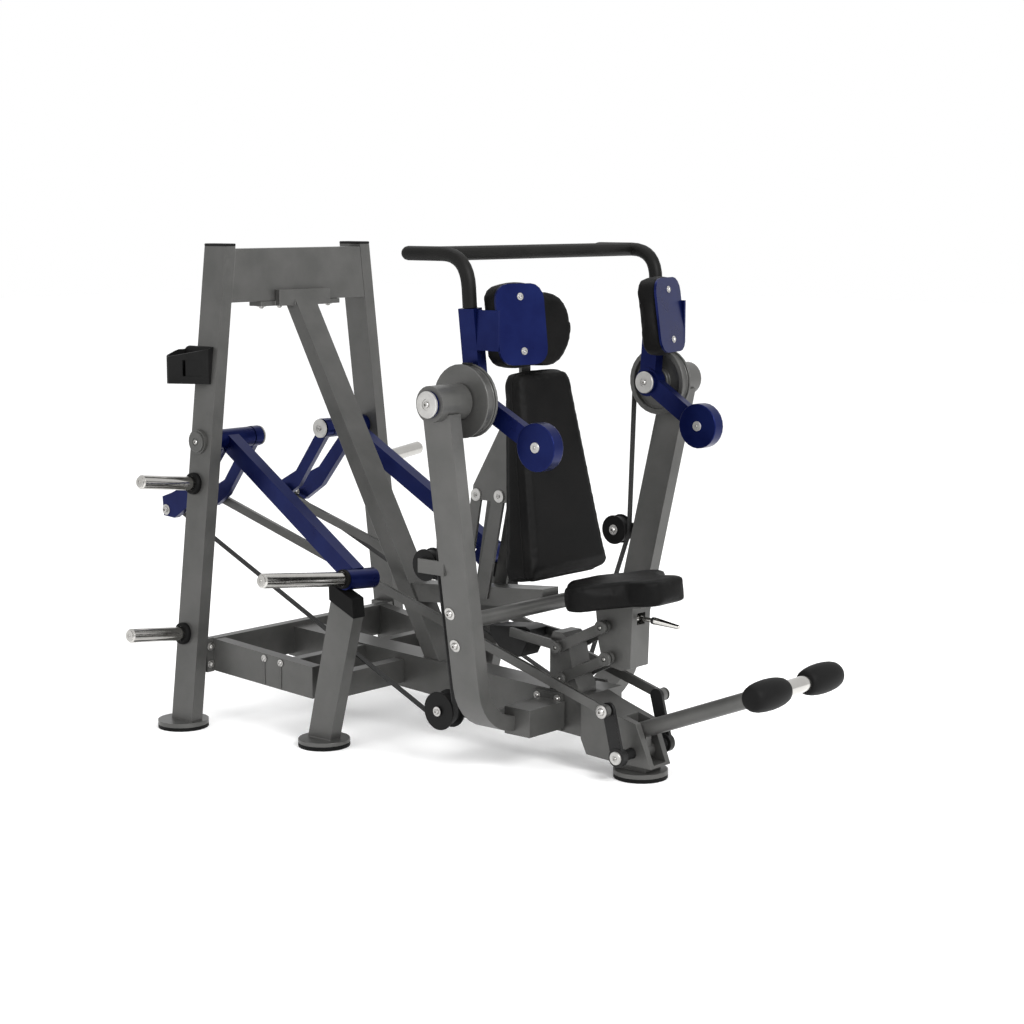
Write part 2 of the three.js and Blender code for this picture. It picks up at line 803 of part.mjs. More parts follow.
const SEAT_TILT = 6.5; // degrees, front edge up
const SEAT_REAR_STATION = 1275;
const SEAT_TOP_REAR = 602;
const SEAT_THICK = 72;
const SEAT_SLOPE = Math.tan(THREE.MathUtils.degToRad(SEAT_TILT));
const seatUnder = (station) =>
  SEAT_TOP_REAR - SEAT_THICK * 1.02 + (station - SEAT_REAR_STATION) * SEAT_SLOPE;
function seatCarriage() {
  const body = sideView(
    [
      [at(1402), 352],
      [at(1478), 340],
      [at(1512), 352],
      [at(1520), seatUnder(1520) - 6],
      [at(1372), seatUnder(1372) - 6],
      [at(1384), 420],
    ],
    -COLUMN_HALF,
    COLUMN_HALF,
  );
  const topPlate = sideView(
    [
      [at(1330), seatUnder(1330) - 0.6],
      [at(1570), seatUnder(1570) - 0.6],
      [at(1570), seatUnder(1570) - 8.6],
      [at(1330), seatUnder(1330) - 8.6],
    ],
    -70,
    70,
  );
  const slot = box(-20, 20, at(1600), at(1492), 488, 524);
  return cut(join(body, topPlate), linkBore(linkEnds(0).front), linkBore(linkEnds(1).front), slot);
}
add("seat_carriage", seatCarriage(), GREY);

// Saddle-shaped cushion: narrow behind, wide across the thighs, narrow in front.
function seatPad() {
  const half = [
    [66, 0],
    [94, 16],
    [150, 62],
    [205, 98],
    [226, 122],
    [226, 158],
    [206, 182],
    [136, 226],
    [100, 262],
    [94, 330],
    [66, 360],
  ];
  const plan = [
    ...half.map(([x, run]) => [x, -run]),
    ...half.map(([x, run]) => [-x, -run]).reverse(),
  ];
  return planView(plan, -SEAT_THICK, 0)
    .rotate([-SEAT_TILT, 0, 0])
    .translate([0, at(SEAT_REAR_STATION), SEAT_TOP_REAR]);
}
add("seat_pad", seatPad(), BLACK);

const LEVER_STATION = 1506;
const LEVER_Z = 506;
function releaseLever() {
  const hub = disc(-17, 17, at(LEVER_STATION), LEVER_Z, 9, COARSE);
  const neck = rod([0, at(LEVER_STATION), LEVER_Z], [0, at(1580), LEVER_Z - 1], 7, 12);
  const grip = rod([0, at(1572), LEVER_Z - 1], [0, at(1665), LEVER_Z - 9], 12, 12, 7);
  return join(hub, neck, grip);
}
add("seat_release_lever", releaseLever(), CHROME);

// ---------- bottle holder on the user's right rear post ----------
const HOLDER_LOW = 1177;
const HOLDER_HIGH = 1304;
const HOLDER_WALL = 5;
const HOLDER_NOSE = [-409, -24]; // x and station of the corner nearest the user
const HOLDER_SIDE = Math.atan2(71, 125); // how far the long wall swings out from the post
// A point a given way along the holder's long wall and a given depth into it.
function holderWall(along, depth) {
  const x = HOLDER_NOSE[0] - along * Math.sin(HOLDER_SIDE) + depth * Math.cos(HOLDER_SIDE);
  const station = HOLDER_NOSE[1] - along * Math.cos(HOLDER_SIDE) - depth * Math.sin(HOLDER_SIDE);
  return [x, at(station)];
}
function bottleHolder() {
  const plan = (inset, low) =>
    planView(
      [
        [-340, at(-22 - inset)],
        [-409 + inset / 2, at(-24 - inset)],
        [-480 + inset, at(-149)],
        [-478 + inset, at(-160 + inset / 2)],
        [-468 + inset / 2, at(-169 + inset)],
        [-340, at(-171 + inset)],
      ],
      low,
      HOLDER_HIGH + 30,
    );
  const wallPanel = (from, to, depth, low, high) =>
    planView([holderWall(from, -2), holderWall(to, -2), holderWall(to, depth), holderWall(from, depth)], low, high);
  // All that lies inside the post's leaning outer face, moved out by a clearance.
  const postSide = (clearance) =>
    frontView(
      [
        [postOuter(1100) - clearance, 1100],
        [0, 1100],
        [0, 1400],
        [postOuter(1400) - clearance, 1400],
      ],
      at(60),
      at(-200),
    );
  const rim = frontView(
    [
      [-370, HOLDER_HIGH + 5],
      [-520, HOLDER_HIGH - 49],
      [-520, HOLDER_HIGH + 60],
      [-370, HOLDER_HIGH + 60],
    ],
    at(60),
    at(-200),
  );
  const rearCorner = sideView(
    [
      [at(-130), HOLDER_HIGH + 6],
      [at(-158), HOLDER_HIGH - 6],
      [at(-178), HOLDER_HIGH - 26],
      [at(-200), HOLDER_HIGH + 60],
      [at(-130), HOLDER_HIGH + 60],
    ],
    -520,
    -340,
  );
  const pocket = cut(plan(HOLDER_WALL, HOLDER_LOW + HOLDER_WALL), postSide(HOLDER_WALL));
  const recess = wallPanel(24, 93, 2, HOLDER_LOW + 26, HOLDER_HIGH - 46);
  const slot = wallPanel(83, 93, HOLDER_WALL + 4, HOLDER_LOW + 26, HOLDER_HIGH - 46);
  return cut(plan(0, HOLDER_LOW), postSide(GAP), pocket, rim, rearCorner, recess, slot);
}
add("bottle_holder", bottleHolder(), BLACK);

// ---------- plate storage pegs ----------
const PEG_TILT = Math.atan(POST_LEAN);
function peg(x, station, z, length, radius) {
  const along = [-Math.cos(PEG_TILT), 0, Math.sin(PEG_TILT)];
  const point = (d) => [x + along[0] * d, at(station), z + along[2] * d];
  return join(
    rod(point(0), point(length - 5), radius),
    rod(point(length - 5.5), point(length), radius, COARSE, radius - 5),
  );
}
function storagePeg(station, z, length) {
  const x = postOuter(z) - GAP * 2;
  const along = [-Math.cos(PEG_TILT), 0, Math.sin(PEG_TILT)];
  const flange = rod(
    [x, at(station), z],
    [x + along[0] * 14, at(station), z + along[2] * 14],
    34,
    24,
  );
  return join(peg(x, station, z, length, PEG_RADIUS), flange);
}
addPair("upper_storage_peg", storagePeg(-72, 836, 236), CHROME);
addPair("lower_storage_peg", storagePeg(-72, 322, 236), CHROME);

// ---------- weight arms ----------
const ARM_ROOT = [-292, at(PIVOT_STATION), PIVOT_Z];
const ARM_END = [-342, at(604), 582];
const SLEEVE_STATION = 612;
const SLEEVE_Z = 575;
const TUBE_INNER = -194;
function weightArm() {
  const tubeBody = disc(PIVOT_TUBE_OUTER, TUBE_INNER, at(PIVOT_STATION), PIVOT_Z, 35, FINE);
  const arm = bar(ARM_ROOT, ARM_END, 48, 60);
  const sleeve = rod([-400, at(SLEEVE_STATION), SLEEVE_Z + 1], [-270, at(SLEEVE_STATION), SLEEVE_Z - 9], 34, FINE);
  const lever = sideView(
    [
      [at(-48), 950],
      [at(-92), 972],
      [at(-236), 812],
      [at(-330), 770],
      [at(-382), 752],
      [at(-376), 684],
      [at(-318), 680],
      [at(-222), 742],
    ],
    -328,
    -304,
  );
  const bore = disc(
    PIVOT_TUBE_OUTER - 20,
    PIVOT_TUBE_OUTER + PIVOT_BORE,
    at(PIVOT_STATION),
    PIVOT_Z,
    PIVOT_AXLE + PIN_GAP,
    COARSE,
  );
  const spigot = disc(TUBE_INNER - 10, -150, at(PIVOT_STATION), PIVOT_Z, SPIGOT_RADIUS, COARSE);
  return cut(join(tubeBody, arm, sleeve, lever, spigot), bore);
}
const SPIGOT_RADIUS = 20;
addPair("weight_arm", weightArm(), BLUE);

// ---------- assist levers: they hang on the weight arms' inner spigots, worked by the foot bar ----------
const ROD_REAR_STATION = -286;
const ROD_REAR_Z = 735;
function assistLever() {
  const collar = disc(-190, -156, at(PIVOT_STATION), PIVOT_Z, 36, FINE);
  const lever = sideView(
    [
      [at(-48), 954],
      [at(-90), 974],
      [at(-212), 812],
      [at(-308), 762],
      [at(-310), 716],
      [at(-262), 714],
      [at(-196), 758],
    ],
    -184,
    -164,
  );
  const lug = disc(-186, -142, at(ROD_REAR_STATION), ROD_REAR_Z, 19, COARSE);
  const bore = disc(-220, -140, at(PIVOT_STATION), PIVOT_Z, SPIGOT_RADIUS + PIN_GAP, COARSE);
  return cut(join(collar, lever, lug), bore);
}
addPair("assist_lever", assistLever(), BLUE);

function weightPeg() {
  const x = -400 - GAP * 2;
  const z = SLEEVE_Z + 3;
  const flange = rod([x, at(SLEEVE_STATION), z], [x - 10, at(SLEEVE_STATION), z + 1], 27, 24);
  return join(peg(x, SLEEVE_STATION, z, 362, PEG_RADIUS), flange);
}
addPair("weight_peg", cut(weightPeg(), grown(weightArm())), CHROME);

// ---------- push rods from the assist levers to the foot levers ----------
const ROD_FRONT_STATION = 1490;
const ROD_FRONT_Z = 233;
const ROD_PIN_RADIUS = 8;
function pushRod() {
  const rearX = -134;
  const frontX = -144;
  const shaft = bar([rearX, at(ROD_REAR_STATION), ROD_REAR_Z], [frontX, at(ROD_FRONT_STATION), ROD_FRONT_Z], 13, 30);
  const rearEye = disc(rearX - 7, rearX + 7, at(ROD_REAR_STATION), ROD_REAR_Z, 22, COARSE);
  const frontEye = disc(frontX - 12, frontX + 8, at(ROD_FRONT_STATION), ROD_FRONT_Z, 20, COARSE);
  const pinHole = disc(-180, -100, at(ROD_FRONT_STATION), ROD_FRONT_Z, ROD_PIN_RADIUS + PIN_GAP, COARSE);
  return cut(join(shaft, rearEye, frontEye), pinHole);
}
addPair("push_rod", pushRod(), GREY);

// ---------- foot bar ----------
const BAR_END_STATION = 2086;
const BAR_END_Z = 376;
const FOOT_ARM_RADIUS = 26;
const FOOT_SLEEVE_HALF = 57;
const footArmPoint = (station) => [
  0,
  at(station),
  157 + ((station - 1541) * (BAR_END_Z - 157)) / (BAR_END_STATION - 1541),
];
function footArm() {
  const arm = rod(footArmPoint(1514), footArmPoint(BAR_END_STATION - 22), FOOT_ARM_RADIUS, 20);
  const hub = disc(-MOUTH_HALF + 2, MOUTH_HALF - 2, at(FOOT_AXIS_STATION), FOOT_AXIS_Z, FOOT_HUB_RADIUS, FINE);
  const web = box(-14, 14, at(1552), at(1506), FOOT_AXIS_Z, 150);
  const bore = disc(-60, 60, at(FOOT_AXIS_STATION), FOOT_AXIS_Z, FOOT_SHAFT_RADIUS + PIN_GAP, COARSE);
  return cut(join(arm, hub, web), bore, footSleeve(GAP));
}
const footSleeve = (clearance) =>
  disc(
    -FOOT_SLEEVE_HALF,
    FOOT_SLEEVE_HALF,
    at(BAR_END_STATION),
    BAR_END_Z,
    25 + clearance,
    24,
  );
add("foot_bar_arm", footArm(), GREY);
const PAD_AXLE_RADIUS = 15;
function footCrossBar() {
  const axle = disc(-224, 224, at(BAR_END_STATION), BAR_END_Z, PAD_AXLE_RADIUS, 20);
  return join(axle, footSleeve(0));
}
add("foot_cross_bar", footCrossBar(), CHROME);

function footPad() {
  const inner = FOOT_SLEEVE_HALF + GAP;
  const bore = PAD_AXLE_RADIUS + GAP;
  const profile = [
    [bore, inner],
    [34, inner],
    [43, inner + 12],
    [47, 141],
    [43, 214],
    [34, 226],
    [bore, 226],
    [bore, inner],
  ].map(([radius, along]) => new THREE.Vector2(radius, along));
  const geometry = new THREE.LatheGeometry(profile, 20);
  geometry.rotateZ(Math.PI / 2);
  geometry.translate(0, at(BAR_END_STATION), BAR_END_Z);
  return solidFrom(geometry);
}
addPair("foot_pad", footPad(), BLACK);

// The shaft through the housing with a lever welded on each end.
function footShaft() {
  const shaft = disc(-112, 112, at(FOOT_AXIS_STATION), FOOT_AXIS_Z, FOOT_SHAFT_RADIUS, COARSE);
  const lever = join(
    bar([-124, at(FOOT_AXIS_STATION), FOOT_AXIS_Z], [-124, at(ROD_FRONT_STATION), ROD_FRONT_Z], 12, 46),
    disc(-134, -110, at(FOOT_AXIS_STATION), FOOT_AXIS_Z, 30, FINE),
    disc(-130, -118, at(ROD_FRONT_STATION), ROD_FRONT_Z, 24, COARSE),
    disc(-162, -120, at(ROD_FRONT_STATION), ROD_FRONT_Z, ROD_PIN_RADIUS, COARSE),
  );
  return join(shaft, lever, mirror(lever));
}
add("foot_shaft", footShaft(), BLACK);

// ---------- pullover arms ----------
const HUB_ARM_OUTER = -450;
const HUB_ARM_INNER = -408;
const ARM_TOP = [-458, at(1217), 1476];
const COUNTER_X = -405;
const COUNTER_STATION = 1446;
const COUNTER_Z = 1072;
const COUNTER_RADIUS = 73;
const COUNTER_HALF = 22;
function pressArm() {
  const hub = disc(HUB_ARM_OUTER, HUB_ARM_INNER, at(HUB_STATION), HUB_Z, 47, FINE);
  const upper = bar([-427, at(1221), 1190], ARM_TOP, 38, 62);
  const counterArm = bar([-427, at(HUB_STATION), HUB_Z], [COUNTER_X, at(1430), 1081], 30, 60);
  const bracket = box(-465, -456.5, at(1335), at(1215), 1352, 1472);
  const axle = disc(-645, HUB_ARM_INNER - 10, at(HUB_STATION), HUB_Z, AXLE_RADIUS, COARSE);
  const outerCap = disc(-648, -641, at(HUB_STATION), HUB_Z, 40, FINE);
  const innerCap = disc(HUB_ARM_INNER - 2, -398, at(HUB_STATION), HUB_Z, 37, FINE);
  return join(cut(join(hub, upper, counterArm), counterDisc(GAP)), bracket, elbowPlate(), axle, outerCap, innerCap);
}
const counterDisc = (clearance) =>
  disc(
    COUNTER_X - COUNTER_HALF - clearance,
    COUNTER_X + COUNTER_HALF + clearance,
    at(COUNTER_STATION),
    COUNTER_Z,
    COUNTER_RADIUS + clearance,
    FINE,
  );

// Plate in front of each upper arm, with its cushion behind it.
const ELBOW_YAW = 11.3;
const ELBOW_LEAN = 7.4;
const ELBOW_CENTRE = [-370, at(1346), 1429];
const ELBOW_PLATE = 8;
const ELBOW_CUSHION = 65;
const elbowShape = (width, height, radius, from, thickness) =>
  frontView(roundedRectangle(width, height, radius), from, from + thickness)
    .rotate([-ELBOW_LEAN, 0, 0])
    .rotate([0, 0, -ELBOW_YAW])
    .translate(ELBOW_CENTRE);
const elbowPlate = () => elbowShape(182, 242, 48, 0, ELBOW_PLATE);
addPair("press_arm", pressArm(), BLUE);
addPair("elbow_pad", elbowShape(174, 250, 52, ELBOW_PLATE + GAP, ELBOW_CUSHION), BLACK);
addPair("counterweight", counterDisc(0), BLUE);

const CAM_INNER = -460;
const CAM_OUTER = -506;
const CAM_GROOVE = 8;
function cam() {
  const band = (x0, x1, outer, inner) =>
    cut(
      disc(x0, x1, at(HUB_STATION), HUB_Z, outer, 30),
      disc(x0 - 1, x1 + 1, at(HUB_STATION), HUB_Z, inner, 30),
    );
  const whole = disc(CAM_OUTER, CAM_INNER, at(HUB_STATION), HUB_Z, CAM_RADIUS, 30);
  const groove = band(-497, -469, CAM_RADIUS + 5, CAM_RADIUS - CAM_GROOVE);
  const dish = band(-476, CAM_INNER + 5, CAM_RADIUS - 18, 46);
  const bore = disc(CAM_OUTER - 5, CAM_INNER + 5, at(HUB_STATION), HUB_Z, AXLE_RADIUS + PIN_GAP, COARSE);
  return cut(whole, groove, dish, bore);
}
addPair("cam", cam(), GREY);

// Handle frame that joins the two arms and reaches back over the user's head.
const BAR_RADIUS = 22;
const BAR_X = -464;
const BAR_HIGH_Z = 1635;
const BAR_TIP_STATION = 972;
function topBar() {
  const path = rounded(
    [
      [ARM_TOP[0], ARM_TOP[1], ARM_TOP[2] + 1],
      [BAR_X, at(1212), BAR_HIGH_Z],
      [BAR_X, at(BAR_TIP_STATION), BAR_HIGH_Z],
    ],
    100,
    8,
  );
  const tip = ball([BAR_X, at(BAR_TIP_STATION), BAR_HIGH_Z], BAR_RADIUS, 16);
  const side = join(sweep(path, circle(BAR_RADIUS, 16)), tip);
  const cross = disc(BAR_X, -BAR_X, at(1104), BAR_HIGH_Z, BAR_RADIUS, 16);
  return join(side, mirror(side), cross);
}
add("top_bar", cut(topBar(), grown(pressArm()), grown(mirror(pressArm()))), BLACK);

// ---------- belts, whole, along their real route from the weight arm to the cam ----------
const BELT_THICK = 4;
const BELT_WIDTH = 22;
const BELT_START = [-318, at(-225), 655];
const CAM_BELT_X = -483;
const GUIDE_BELT_X = -474;
function belt() {
  const clear = BELT_THICK / 2 + 0.8;
  const low = arc(at(ROLLER_STATION), ROLLER_Z, ROLLER_GROOVE + clear, 292, 186, 10);
  const guide = arc(at(GUIDE_STATION), GUIDE_Z, GUIDE_GROOVE + clear, 188, 174, 2);
  const high = arc(at(HUB_STATION), HUB_Z, CAM_RADIUS - CAM_GROOVE + clear, 2, 88, 8);
  const onto = (x) => ([y, z]) => [x, y, z];
  return sweep(
    [
      BELT_START,
      ...low.map(onto(ROLLER_X)),
      ...guide.map(onto(GUIDE_BELT_X)),
      ...high.map(onto(CAM_BELT_X)),
    ],
    [
      [-BELT_WIDTH / 2, -BELT_THICK / 2],
      [BELT_WIDTH / 2, -BELT_THICK / 2],
      [BELT_WIDTH / 2, BELT_THICK / 2],
      [-BELT_WIDTH / 2, BELT_THICK / 2],
    ],
  );
}
addPair("belt", belt(), RUBBER);

export default part;
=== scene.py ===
"""Looks of the plate-loaded pullover machine: materials, cushions, fasteners, light and camera."""

import json
import math

import bmesh
import bpy
from mathutils import Matrix, Vector


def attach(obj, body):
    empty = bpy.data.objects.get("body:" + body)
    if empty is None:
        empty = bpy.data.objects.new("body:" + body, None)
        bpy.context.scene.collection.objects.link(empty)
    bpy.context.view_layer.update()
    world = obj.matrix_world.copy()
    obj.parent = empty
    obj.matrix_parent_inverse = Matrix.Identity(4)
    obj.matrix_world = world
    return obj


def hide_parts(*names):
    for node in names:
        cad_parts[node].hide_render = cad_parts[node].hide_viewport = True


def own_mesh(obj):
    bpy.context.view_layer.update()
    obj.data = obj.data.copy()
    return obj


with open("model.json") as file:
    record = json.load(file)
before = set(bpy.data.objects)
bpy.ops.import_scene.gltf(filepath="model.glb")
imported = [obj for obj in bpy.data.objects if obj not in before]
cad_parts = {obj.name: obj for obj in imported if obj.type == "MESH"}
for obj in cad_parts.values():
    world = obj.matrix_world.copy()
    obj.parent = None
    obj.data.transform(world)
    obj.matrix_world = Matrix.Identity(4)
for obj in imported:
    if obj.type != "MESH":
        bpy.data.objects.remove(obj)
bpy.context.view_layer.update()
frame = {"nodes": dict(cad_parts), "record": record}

# ---------- shared dimensions, in metres and in the CAD's frame ----------
POST_FACE_Y = 0.8755  # front face of the rear posts; a station is a distance in front of it
POST_FOOT_X = 0.541
POST_LEAN = 0.197 / 1.65
HUB = (1.221, 1.201)  # station and height of the shoulder axis
PIVOT = (-0.065, 0.979)
FOOT_AXIS = (1.527, 0.087)
ROD_FRONT = (1.490, 0.233)
ROD_REAR = (-0.286, 0.735)
LOWER_ROLLER = (0.981, 0.189)
GUIDE_ROLLER = (1.056, 0.686)
LOWER_GROOVE = 0.045
GUIDE_GROOVE = 0.044
LEVER_BOLT = (-0.362, 0.706)
COUNTERWEIGHT = (1.446, 1.072)
FOOT_BAR_END = (2.086, 0.376)
SIDES = (("right", -1), ("left", 1))
X_AXIS = Vector((1, 0, 0))
Y_AXIS = Vector((0, 1, 0))
Z_AXIS = Vector((0, 0, 1))
WELD_DISTANCE = 0.00005  # joins the corners that the CAD import leaves doubled


def at(x, station, z):
    """A point from its sideways place, station and height."""
    return Vector((x, POST_FACE_Y - station, z))


def post_face(z):
    """How far the rear post's outer face is from the middle at this height."""
    return POST_FOOT_X - POST_LEAN * z


# ---------- materials ----------
def new_material(name):
    material = bpy.data.materials.new(name)
    material.use_nodes = True
    tree = material.node_tree
    return material, tree, tree.nodes["Principled BSDF"]


def noise(tree, scale, detail=4.0, roughness=0.55, stretch=(1, 1, 1)):
    """Object-space noise; the CAD's nodes sit at the origin, so this is the row's frame."""
    place = tree.nodes.new("ShaderNodeTexCoord")
    mapping = tree.nodes.new("ShaderNodeMapping")
    mapping.inputs["Scale"].default_value = stretch
    texture = tree.nodes.new("ShaderNodeTexNoise")
    texture.inputs["Scale"].default_value = scale
    texture.inputs["Detail"].default_value = detail
    texture.inputs["Roughness"].default_value = roughness
    tree.links.new(place.outputs["Object"], mapping.inputs["Vector"])
    tree.links.new(mapping.outputs["Vector"], texture.inputs["Vector"])
    return texture.outputs["Fac"]


def ramp(tree, value, low, high, dark, light):
    node = tree.nodes.new("ShaderNodeMapRange")
    node.inputs["From Min"].default_value = low
    node.inputs["From Max"].default_value = high
    node.inputs["To Min"].default_value = dark
    node.inputs["To Max"].default_value = light
    tree.links.new(value, node.inputs["Value"])
    return node.outputs["Result"]


def tint(tree, value, dark, light):
    node = tree.nodes.new("ShaderNodeMix")
    node.data_type = "RGBA"
    node.inputs["A"].default_value = (*dark, 1)
    node.inputs["B"].default_value = (*light, 1)
    tree.links.new(value, node.inputs["Factor"])
    return node.outputs["Result"]


def bump(tree, shader, height, strength, distance):
    node = tree.nodes.new("ShaderNodeBump")
    node.inputs["Strength"].default_value = strength
    node.inputs["Distance"].default_value = distance
    tree.links.new(height, node.inputs["Height"])
    tree.links.new(node.outputs["Normal"], shader.inputs["Normal"])


def surface(
    name, dark, light, rough, metallic=0.0, coat=0.0, grain=(900.0, 0.08, 0.0002), patch=9.0, shine=0.5,
):
    """A finish whose colour and roughness drift slowly and whose surface has a fine grain."""
    material, tree, shader = new_material(name)
    drift = noise(tree, patch, detail=6.0)
    tree.links.new(tint(tree, ramp(tree, drift, 0.35, 0.65, 0, 1), dark, light), shader.inputs["Base Color"])
    tree.links.new(ramp(tree, drift, 0.3, 0.7, rough[0], rough[1]), shader.inputs["Roughness"])
    shader.inputs["Metallic"].default_value = metallic
    shader.inputs["Coat Weight"].default_value = coat
    shader.inputs["Coat Roughness"].default_value = 0.12
    shader.inputs["Specular IOR Level"].default_value = shine
    scale, strength, distance = grain
    bump(tree, shader, noise(tree, scale, detail=3.0), strength, distance)
    return material


def leather(name):
    """Black vinyl: a cell pattern for the grain, and a soft drift of wear."""
    material, tree, shader = new_material(name)
    place = tree.nodes.new("ShaderNodeTexCoord")
    cells = tree.nodes.new("ShaderNodeTexVoronoi")
    cells.feature = "DISTANCE_TO_EDGE"
    cells.inputs["Scale"].default_value = 520.0
    tree.links.new(place.outputs["Object"], cells.inputs["Vector"])
    drift = noise(tree, 7.0, detail=5.0)
    tree.links.new(
        tint(tree, ramp(tree, drift, 0.35, 0.65, 0, 1), (0.0025, 0.0025, 0.0025), (0.0045, 0.0043, 0.0042)),
        shader.inputs["Base Color"],
    )
    tree.links.new(ramp(tree, drift, 0.3, 0.7, 0.44, 0.56), shader.inputs["Roughness"])
    shader.inputs["Specular IOR Level"].default_value = 0.07
    bump(tree, shader, ramp(tree, cells.outputs["Distance"], 0.0, 0.12, 0, 1), 0.25, 0.0004)
    return material


def webbing(name):
    """Woven strap: two crossed waves."""
    material, tree, shader = new_material(name)
    place = tree.nodes.new("ShaderNodeTexCoord")
    heights = []
    for direction, scale in (("X", 260.0), ("Z", 420.0)):
        wave = tree.nodes.new("ShaderNodeTexWave")
        wave.bands_direction = direction
        wave.inputs["Scale"].default_value = scale
        wave.inputs["Distortion"].default_value = 0.6
        tree.links.new(place.outputs["Object"], wave.inputs["Vector"])
        heights.append(wave.outputs["Fac"])
    product = tree.nodes.new("ShaderNodeMath")
    product.operation = "MULTIPLY"
    tree.links.new(heights[0], product.inputs[0])
    tree.links.new(heights[1], product.inputs[1])
    tree.links.new(
        tint(tree, product.outputs["Value"], (0.006, 0.006, 0.006), (0.022, 0.022, 0.022)),
        shader.inputs["Base Color"],
    )
    shader.inputs["Roughness"].default_value = 0.8
    bump(tree, shader, product.outputs["Value"], 0.5, 0.0006)
    return material


FRAME_PAINT = surface(
    "frame_paint", (0.070, 0.070, 0.067), (0.086, 0.085, 0.082), (0.36, 0.46), metallic=0.5, coat=0.05,
    grain=(1400.0, 0.12, 0.0003), shine=0.3,
)
BLUE_PAINT = surface(
    "blue_paint", (0.003, 0.006, 0.048), (0.005, 0.010, 0.064), (0.26, 0.34), metallic=0.65, coat=0.03,
    grain=(1600.0, 0.05, 0.0002), shine=0.12,
)
CHROME = surface(
    "chrome_steel", (0.42, 0.41, 0.39), (0.50, 0.49, 0.47), (0.10, 0.2), metallic=1.0,
    grain=(60.0, 0.02, 0.0004),
)
ZINC = surface(
    "zinc_bolt", (0.36, 0.355, 0.34), (0.44, 0.43, 0.42), (0.26, 0.38), metallic=1.0,
    grain=(500.0, 0.1, 0.0003), patch=60.0,
)
CAP_SILVER = surface(
    "cap_silver", (0.36, 0.355, 0.345), (0.43, 0.425, 0.41), (0.34, 0.42), metallic=0.7,
    grain=(800.0, 0.08, 0.0003), patch=30.0,
)
RUBBER = surface(
    "rubber", (0.003, 0.003, 0.003), (0.005, 0.005, 0.005), (0.5, 0.6), grain=(700.0, 0.25, 0.0005),
    shine=0.08,
)
GRIP = surface(
    "grip_rubber", (0.004, 0.004, 0.0037), (0.007, 0.0068, 0.0063), (0.45, 0.55), grain=(500.0, 0.3, 0.0005),
    shine=0.1,
)
PLASTIC = surface(
    "black_plastic", (0.004, 0.004, 0.004), (0.007, 0.007, 0.007), (0.4, 0.5), grain=(1100.0, 0.2, 0.0004),
    shine=0.1,
)
BLACK_METAL = surface(
    "black_metal", (0.008, 0.008, 0.008), (0.014, 0.014, 0.014), (0.34, 0.44), metallic=0.2, coat=0.05,
    grain=(1500.0, 0.1, 0.0003), shine=0.15,
)
LEATHER = leather("upholstery")
WEBBING = webbing("belt_fabric")
FINISHES = {
    "frame_paint": FRAME_PAINT,
    "blue_paint": BLUE_PAINT,
    "chrome_steel": CHROME,
    "rubber": RUBBER,
    "grip_rubber": GRIP,
    "black_plastic": PLASTIC,
    "black_metal": BLACK_METAL,
    "upholstery": LEATHER,
    "belt_fabric": WEBBING,
}


# ---------- CAD pieces: finish, rounded edges and smooth shading ----------
EDGE_RADIUS = {"frame_paint": 0.003, "blue_paint": 0.0028, "chrome_steel": 0.0012, "black_metal": 0.002}


def soften_edges(obj, radius):
    """Joins the imported corners and rounds the sharp edges, without touching the mesh itself."""
    weld = obj.modifiers.new("weld", "WELD")
    weld.merge_threshold = WELD_DISTANCE
    round_off = obj.modifiers.new("edges", "BEVEL")
    round_off.width = radius
    round_off.segments = 2
    round_off.limit_method = "ANGLE"
    round_off.angle_limit = math.radians(32)
    round_off.use_clamp_overlap = True
    round_off.harden_normals = True
    round_off.miter_outer = "MITER_ARC"


for part in frame["record"]["subparts"]:
    node = frame["nodes"][part["node"]]
    node.data.materials.clear()
    node.data.materials.append(FINISHES[part["material_slot"]])
    if part["material_slot"] not in ("upholstery", "belt_fabric"):
        if "custom_normal" in node.data.attributes:
            node.data.attributes.remove(node.data.attributes["custom_normal"])
        node.data.shade_smooth()
        soften_edges(node, EDGE_RADIUS.get(part["material_slot"], 0.0015))


# ---------- piece builders ----------
def link(name, mesh, material, body, smooth=True):
    obj = bpy.data.objects.new(name, mesh)
    bpy.context.scene.collection.objects.link(obj)
    mesh.materials.append(material)
    if smooth:
        mesh.shade_smooth()
    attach(obj, body)
    return obj


def basis(axis):
    """A turn that takes local Z to the axis."""
    return axis.normalized().to_track_quat("Z", "Y").to_matrix().to_4x4()


def lathe(name, profile, origin, axis, material, body, segments=40):
    """A round piece: profile is (radius, distance along the axis); a radius of 0 closes it."""
    mesh_maker = bmesh.new()
    rings = []
    for radius, along in profile:
        if radius < 1e-6:
            rings.append([mesh_maker.verts.new((0, 0, along))])
            continue
        ring = []
        for k in range(segments):
            angle = 2 * math.pi * k / segments
            ring.append(mesh_maker.verts.new((radius * math.cos(angle), radius * math.sin(angle), along)))
        rings.append(ring)
    for low, high in zip(rings, rings[1:]):
        for k in range(segments):
            nxt = (k + 1) % segments
            if len(low) == 1 and len(high) == 1:
                continue
            if len(low) == 1:
                mesh_maker.faces.new((low[0], high[nxt], high[k]))
            elif len(high) == 1:
                mesh_maker.faces.new((low[k], low[nxt], high[0]))
            else:
                mesh_maker.faces.new((low[k], low[nxt], high[nxt], high[k]))
    bmesh.ops.recalc_face_normals(mesh_maker, faces=mesh_maker.faces)
    mesh = bpy.data.meshes.new(name)
    mesh_maker.to_mesh(mesh)
    mesh_maker.free()
    mesh.transform(Matrix.Translation(origin) @ basis(axis))
    obj = link(name, mesh, material, body)
    mesh.set_sharp_from_angle(angle=math.radians(38))
    return obj


